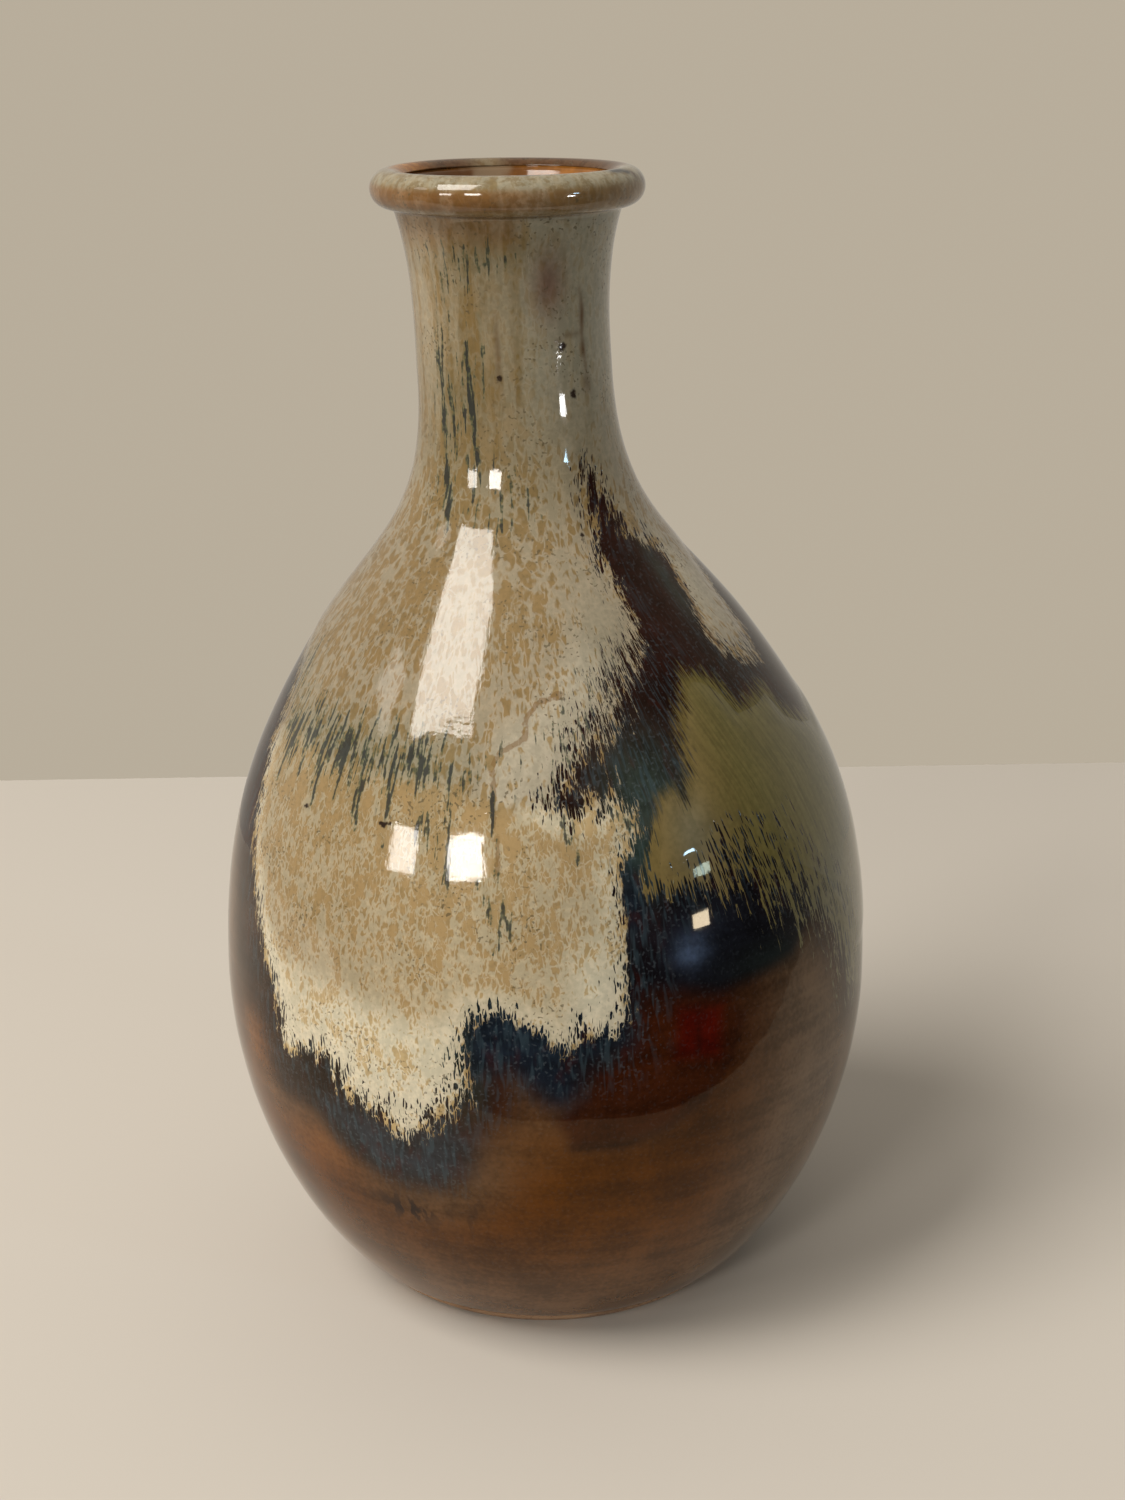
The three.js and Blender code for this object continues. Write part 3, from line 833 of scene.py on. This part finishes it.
def glaze_field():
    """Colour, roughness and relief of the outer glazes, shared so that their pieces join unseen."""
    tree = bpy.data.node_groups.new("glaze_field", "ShaderNodeTree")
    for name, kind in (("Color", "NodeSocketColor"), ("Roughness", "NodeSocketFloat"),
                       ("Height", "NodeSocketFloat")):
        tree.interface.new_socket(name, in_out="OUTPUT", socket_type=kind)
    nodes = Nodes(tree)
    flow = nodes.attribute("flow").outputs["Vector"]
    along = nodes.three("flow")[2]
    place = nodes.place()
    pale_in, olive_in, softness = nodes.three("edges")
    pale_amount, olive_amount, block = nodes.three("fray")
    ochre, dark, vein = nodes.three("spots")
    pin, brown, mist = nodes.three("marks")
    crackled, golden, olive_reflected = nodes.three("crackle_gold_and_reflection")
    necked = nodes.step(along, *(float(length_at(height)) for height in (150, 178)))

    slim = NECK_FLOW_RADIUS / FLOW_RADIUS

    def streaks(width, length, detail=1.0, distortion=0.0):
        """Noise whose blots are that wide and long, drawn out along the wall, for body and narrow neck."""
        wide = nodes.scaled(flow, (0.5 / width, 0.5 / width, 0.5 / length))
        narrow = nodes.scaled(flow, (0.5 * slim / width, 0.5 * slim / width, 0.5 / length))
        return nodes.blend(necked, nodes.noise(wide, detail=detail, distortion=distortion),
                           nodes.noise(narrow, detail=detail, distortion=distortion))

    def centred(value):
        return nodes.minus(value, 0.5)

    def cells(width, length, bend):
        """Distance from the walls of cells that wide and long. The walls wander by a bend."""
        found = []
        for share in (1.0, slim):
            spread = nodes.scaled(flow, (share / width, share / width, 1 / length))
            found.append(nodes.cell_walls(nodes.wandering(spread, bend)))
        return nodes.blend(necked, *found)

    hair = streaks(0.45, 2.4, distortion=0.5)
    strand = streaks(0.7, 6.5)
    fine = streaks(0.42, 7.0)
    spot = streaks(1.4, 2.6, detail=3.0)
    cloud = streaks(1.7, 11.0, detail=3.0, distortion=0.3)
    fleck = streaks(0.5, 3.6, detail=2.0, distortion=0.4)
    ochre_cell = nodes.blend(block, cells(2.3, 3.6, 0.9), cells(1.4, 2.7, 1.2))
    hole = cells(0.8, 3.2, 0.9)
    slot = cells(0.75, 5.5, 0.5)
    grain = nodes.noise(place, scale=0.95, detail=1.5)
    speck = nodes.noise(place, scale=1.5, detail=0.0)
    freckle = nodes.noise(place, scale=0.5, detail=4.0, roughness=0.65)
    lumps = nodes.noise(place, scale=0.09, detail=2.0)

    # The pale pours: ochre cells in a net of lighter glaze, dark flecks, veins and pin spots.
    wanted = nodes.minus(1.0, nodes.math("POWER", ochre, 1 / 3))
    level = nodes.times(wanted, 0.42)
    cell_edge = nodes.fused(centred(spot), 1.0, ochre_cell)
    cell_edge = nodes.fused(centred(grain), 0.22, cell_edge)
    cell_edge = nodes.fused(centred(lumps), 0.3, cell_edge)
    ochre_share = nodes.step(nodes.minus(cell_edge, level), -0.09, 0.13)
    on_bead = nodes.step(along, *(float(STATIONS[-1] - depth) for depth in BEAD_EDGE))
    cloud_share = density_step(nodes, cloud, ochre, 0.12)
    throated = nodes.step(along, *(float(length_at(height)) for height in (184, 204)))
    ochre_share = nodes.blend(nodes.times(throated, 0.6), ochre_share, cloud_share)
    light = nodes.attribute("pale").outputs["Color"]
    darker = nodes.mix(block, (0.70, 0.57, 0.36), (0.73, 0.61, 0.43))
    pale = nodes.mix(ochre_share, light, nodes.tinted(light, darker))
    mottle = nodes.fused(centred(grain), 0.8, centred(spot))
    mottled = nodes.step(mottle, -0.25, 0.25)
    pale = nodes.tinted(pale, nodes.mix(mottled, (0.86, 0.87, 0.86), (1.1, 1.09, 1.09)))
    freckled = nodes.times(nodes.step(freckle, 0.47, 0.62, 0.0, 0.75), on_bead)
    pale = nodes.mix(freckled, pale, nodes.tinted(light, (0.62, 0.5, 0.34)))
    thread = nodes.step(nodes.fused(centred(grain), 0.8, vein), 0.42, 0.62)
    pale = nodes.mix(nodes.times(thread, 0.6), pale, linear(124, 92, 52))
    pale = nodes.mix(nodes.times(dark, 0.4), pale, linear(112, 112, 88))
    level = noise_level(nodes, dark)
    margin = nodes.minus(nodes.fused(centred(grain), 0.35, fleck), level)
    dark_share = nodes.times(nodes.step(margin, -0.05, 0.03), nodes.step(dark, 0.02, 0.12))
    dark_glaze = nodes.mix(nodes.step(margin, 0.0, 0.09), linear(82, 88, 66), linear(34, 42, 46))
    pale = nodes.mix(nodes.times(dark_share, 0.85), pale, dark_glaze)
    pale = nodes.mix(nodes.times(brown, 0.6), pale, linear(104, 80, 56))
    pale = nodes.mix(nodes.step(nodes.fused(centred(grain), 1.2, pin), 0.35, 0.75), pale,
                     linear(50, 38, 30))
    dusty = nodes.times(nodes.step(speck, 0.66, 0.74), nodes.step(lumps, 0.48, 0.6, 0.1, 0.7))
    pale = nodes.mix(dusty, pale, linear(92, 80, 58))

    # The iron glaze under them: banded by the wheel, with blue streaks where it runs under a pour.
    ground = nodes.attribute("ground").outputs["Color"]
    bands = nodes.noise(nodes.scaled(flow, (0.012, 0.012, 0.35)), detail=2.0)
    tone = nodes.fused(centred(lumps), 0.9, nodes.times(centred(bands), 0.55))
    tone = nodes.fused(centred(grain), 0.55, tone)
    toned = nodes.mix(nodes.step(tone, -0.35, 0.35), (0.6, 0.58, 0.56), (1.4, 1.42, 1.44))
    ground = nodes.tinted(ground, toned)
    red_share = nodes.times(nodes.step(centred(spot), 0.0, 0.2), mist)
    ground = nodes.mix(nodes.times(red_share, 0.35), ground, linear(66, 24, 14))
    blue_share = nodes.times(nodes.step(hair, 0.46, 0.68), mist)
    ground = nodes.mix(nodes.times(blue_share, 0.42), ground, linear(66, 84, 92))
    speck_share = nodes.times(nodes.step(speck, 0.62, 0.74), nodes.fused(mist, 0.2, 0.05))
    ground = nodes.mix(speck_share, ground, linear(96, 104, 110))
    crack_share = nodes.times(nodes.step(spot, 0.5, 0.58), crackled)
    ground = nodes.mix(crack_share, ground, linear(40, 30, 28))

    # Frayed edges open into holes and thin hairs. The olive pour feathers out in longer ones.
    ragged = nodes.fused(centred(hair), 0.35, nodes.times(centred(spot), 0.55))
    ragged = nodes.minus(nodes.fused(centred(strand), 0.3, ragged), hole)
    pale_edge = nodes.fused(nodes.math("ADD", ragged, 0.14), pale_amount, pale_in)
    pale_share = nodes.step(pale_edge, -0.4, 0.6)
    feather = nodes.fused(centred(fine), 0.5, nodes.times(centred(strand), 0.5))
    feather = nodes.minus(nodes.fused(centred(hair), 0.3, feather), slot)
    olive_edge = nodes.fused(nodes.math("ADD", feather, 0.22), olive_amount, olive_in)
    olive_share = nodes.step(olive_edge, nodes.times(softness, -1.0), softness)
    olive = nodes.mix(nodes.step(fine, 0.3, 0.7), linear(99, 89, 49), linear(111, 101, 57))
    olive = nodes.mix(nodes.times(golden, 0.75), olive, linear(120, 100, 60))
    # Painted reflection: the olive turns greyer low down and towards its right edge.
    olive = nodes.mix(nodes.times(olive_reflected, 0.7), olive, linear(116, 112, 92))
    olive = nodes.tinted(olive, nodes.mix(mottled, (0.88, 0.9, 0.88), (1.1, 1.1, 1.1)))
    colour = nodes.mix(olive_share, ground, olive)
    colour = nodes.mix(pale_share, colour, pale)

    roughness = nodes.blend(pale_share, 0.04, nodes.step(spot, 0.3, 0.7, 0.03, 0.08))
    relief = nodes.fused(spot, 0.02, nodes.times(hair, 0.008))
    relief = nodes.fused(grain, 0.008, relief)
    height = nodes.fused(lumps, 0.03, nodes.times(relief, pale_share))
    height = nodes.fused(olive_share, 0.02, height)
    height = nodes.fused(bands, 0.02, height)

    out = nodes.add("NodeGroupOutput")
    nodes.plug(out.inputs["Color"], colour)
    nodes.plug(out.inputs["Roughness"], roughness)
    nodes.plug(out.inputs["Height"], height)
    return tree


def new_material(name):
    material = bpy.data.materials.new(name)
    material.use_nodes = True
    nodes = Nodes(material.node_tree)
    shader = material.node_tree.nodes["Principled BSDF"]
    return material, nodes, shader


def bumped(nodes, shader, height, strength=1.0):
    bump = nodes.add("ShaderNodeBump")
    bump.inputs["Strength"].default_value = strength
    bump.inputs["Distance"].default_value = MM
    nodes.plug(bump.inputs["Height"], height)
    nodes.plug(shader.inputs["Normal"], bump.outputs[0])


def outer_glaze(name, field, shine, tint=(1.0, 1.0, 1.0, 1.0)):
    material, nodes, shader = new_material(name)
    group = nodes.add("ShaderNodeGroup", node_tree=field)
    nodes.plug(shader.inputs["Base Color"], group.outputs["Color"])
    nodes.plug(shader.inputs["Roughness"], group.outputs["Roughness"])
    shader.inputs["Specular IOR Level"].default_value = shine
    shader.inputs["Specular Tint"].default_value = tint
    bumped(nodes, shader, group.outputs["Height"])
    return material


def liner_material():
    """Amber glaze, darker on the left and brighter on the right, with a greyish patch at the back of the
    lip.
    """
    material, nodes, shader = new_material("amber_liner_glaze")
    place = nodes.place()
    split = nodes.add("ShaderNodeSeparateXYZ")
    nodes.plug(split.inputs[0], place)
    streaked = nodes.noise(nodes.scaled(place, (0.5, 0.5, 0.12)), detail=2.0)
    bloom = nodes.noise(place, scale=0.16, detail=2.0)
    across = nodes.fused(nodes.minus(bloom, 0.5), 10.0, split.outputs[0])
    amber = nodes.mix(nodes.step(across, -12.0, 8.0), linear(92, 58, 26), linear(150, 96, 38))
    amber = nodes.mix(nodes.step(streaked, 0.35, 0.65, 0.0, 0.4), amber, linear(84, 50, 20))
    patch = nodes.times(nodes.step(across, -16.0, -13.0), nodes.step(across, -5.0, -8.0))
    colour = nodes.mix(nodes.times(patch, 0.8), amber, linear(132, 112, 88))
    nodes.plug(shader.inputs["Base Color"], colour)
    nodes.plug(shader.inputs["Roughness"], nodes.step(bloom, 0.4, 0.6, 0.08, 0.18))
    bumped(nodes, shader, nodes.times(bloom, 0.1))
    return material


def clay_material():
    """Bare fired stoneware: warm brown, gritty, with iron specks."""
    material, nodes, shader = new_material("bare_stoneware")
    place = nodes.place()
    grit = nodes.noise(place, scale=1.6, detail=3.0)
    tone = nodes.noise(place, scale=0.08, detail=2.0)
    colour = nodes.mix(nodes.step(tone, 0.35, 0.65), linear(134, 104, 78), linear(160, 128, 98))
    colour = nodes.mix(nodes.step(grit, 0.62, 0.7), colour, linear(70, 48, 36))
    nodes.plug(shader.inputs["Base Color"], colour)
    nodes.plug(shader.inputs["Roughness"], nodes.step(grit, 0.3, 0.7, 0.7, 0.95))
    bumped(nodes, shader, nodes.times(grit, 0.12))
    return material


def dress(piece, material, node):
    piece.data.materials.append(material)
    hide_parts(node)
    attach(piece, "root")


# ---- The vase
def build_vase():
    field = glaze_field()
    clay = turned("clay_wall", clay_body())
    dress(clay, clay_material(), "clay_body")
    liner = turned("glaze_liner", np.concatenate([hollow_curve(GLAZE_THICKNESS)[::-1], hollow_curve(0)]))
    dress(liner, liner_material(), "liner_glaze")
    dress(base_glaze(), outer_glaze("iron_glaze", field, 0.22, (1.0, 0.8, 0.52, 1.0)), "base_glaze")
    coats = (
        ("glaze_shoulder", CREAM_IN, 0.370, "shoulder_glaze"),
        ("glaze_belly", BELLY_IN, 0.363, "belly_glaze"),
        ("glaze_olive", OLIVE_IN, 0.356, "olive_glaze"),
    )
    for name, region, build, node in coats:
        dress(coat(name, region, build), outer_glaze(node + "_surface", field, 0.5), node)


# ---- Floor, light and camera
TABLE_TOP = [(-700, -170), (30, -170), (175, -108), (369, 2), (380, 330), (-700, 330)]
TABLE_THICKNESS = 8
LIGHT_REACH = 2500
LIGHT_AIM = 120
CAMERA_PLACE = (0, -482.8, 286.25)
CAMERA_YAW, CAMERA_PITCH, CAMERA_ROLL = 0.53, 18.855, 0.75
CAMERA_LENS = 54.1


def build_floor():
    base = float(CAD_LOW.z) / MM
    count = len(TABLE_TOP)
    corners = [(x, y, z) for z in (base, base - TABLE_THICKNESS) for x, y in TABLE_TOP]
    faces = [list(range(count)), list(range(2 * count - 1, count - 1, -1))]
    faces += [[k, k + count, (k + 1) % count + count, (k + 1) % count] for k in range(count)]
    floor = add_mesh("floor", np.array(corners, float) * MM, faces)
    floor.data.polygons.foreach_set("use_smooth", np.zeros(len(faces), bool))
    material, _, shader = new_material("pale_floor")
    shader.inputs["Base Color"].default_value = (*linear(210, 203, 193), 1)
    shader.inputs["Roughness"].default_value = 0.8
    floor.data.materials.append(material)


def direction(azimuth, elevation):
    turn, rise = math.radians(azimuth), math.radians(elevation)
    return Vector((math.sin(turn) * math.cos(rise), -math.cos(turn) * math.cos(rise), math.sin(rise)))


def softbox(name, azimuth, elevation, width, height, radiance, tint, tilt=0):
    """A rectangular light far out in the given direction, facing the vase, turned by tilt degrees."""
    aim = direction(azimuth, elevation)
    light = bpy.data.lights.new(name, "AREA")
    light.shape = "RECTANGLE"
    light.size = width * MM
    light.size_y = height * MM
    light.energy = radiance * math.pi * light.size * light.size_y
    light.color = tint
    lamp = bpy.data.objects.new(name, light)
    turn = Matrix.Rotation(math.radians(tilt), 4, aim) @ aim.to_track_quat("Z", "Y").to_matrix().to_4x4()
    lamp.matrix_world = Matrix.Translation((Vector((0, 0, LIGHT_AIM)) + aim * LIGHT_REACH) * MM) @ turn
    lamp.visible_camera = False
    bpy.context.scene.collection.objects.link(lamp)


def build_lights():
    """Two tiers of window panes on the left, and small bright openings low on the right."""
    warm = (1.0, 0.955, 0.89)
    white = (1.0, 1.0, 1.0)
    blue = (0.5, 0.78, 1.0)
    softbox("window_high", -58.8, 52.4, 1143, 1293, 10.5, warm, 26.6)
    softbox("window_low_left", -53.2, 15.8, 450, 359, 15, warm, 7.9)
    softbox("window_low_right", -28.8, 19.0, 544, 386, 24, warm, 9.9)
    softbox("window_side", -84, 33.5, 500, 390, 2.5, warm)
    softbox("window_right", 54.3, -0.6, 270, 190, 40, white)
    softbox("sky_right", 58, 10.3, 300, 120, 34, blue)


def build_world():
    """A pale curtain behind the vase and a dim room in front. The camera sees a plain pale wall."""
    world = bpy.data.worlds.new("studio")
    bpy.context.scene.world = world
    world.use_nodes = True
    nodes = Nodes(world.node_tree)
    background = world.node_tree.nodes["Background"]
    split = nodes.add("ShaderNodeSeparateXYZ")
    nodes.plug(split.inputs[0], nodes.add("ShaderNodeTexCoord").outputs["Generated"])
    front = nodes.mix(nodes.step(split.outputs[2], 0.3, 0.9), (0.06, 0.055, 0.05), (0.28, 0.26, 0.23))
    room = nodes.mix(nodes.step(split.outputs[1], -0.15, 0.5), front, (0.48, 0.44, 0.38))
    plain = nodes.mix(nodes.add("ShaderNodeLightPath").outputs["Is Camera Ray"], room, (0.48, 0.42, 0.33))
    nodes.plug(background.inputs["Color"], plain)


def build_camera():
    """In front of the vase, looking a little down, with a slight roll."""
    yaw, pitch, roll = (math.radians(angle) for angle in (CAMERA_YAW, CAMERA_PITCH, CAMERA_ROLL))
    forward = Vector((math.sin(yaw) * math.cos(pitch), math.cos(yaw) * math.cos(pitch), -math.sin(pitch)))
    level = Vector((math.cos(yaw), -math.sin(yaw), 0))
    upright = level.cross(forward)
    right = level * math.cos(roll) - upright * math.sin(roll)
    up = upright * math.cos(roll) + level * math.sin(roll)
    data = bpy.data.cameras.new("camera")
    data.lens = CAMERA_LENS
    data.sensor_width = 36
    data.clip_start = 0.01
    camera = bpy.data.objects.new("camera", data)
    turn = Matrix((right, up, -forward)).transposed()
    camera.matrix_world = Matrix.Translation(Vector(CAMERA_PLACE) * MM) @ turn.to_4x4()
    bpy.context.scene.collection.objects.link(camera)
    bpy.context.scene.camera = camera


build_vase()
build_floor()
build_lights()
build_world()
build_camera()
bpy.context.scene.view_settings.view_transform = "Standard"
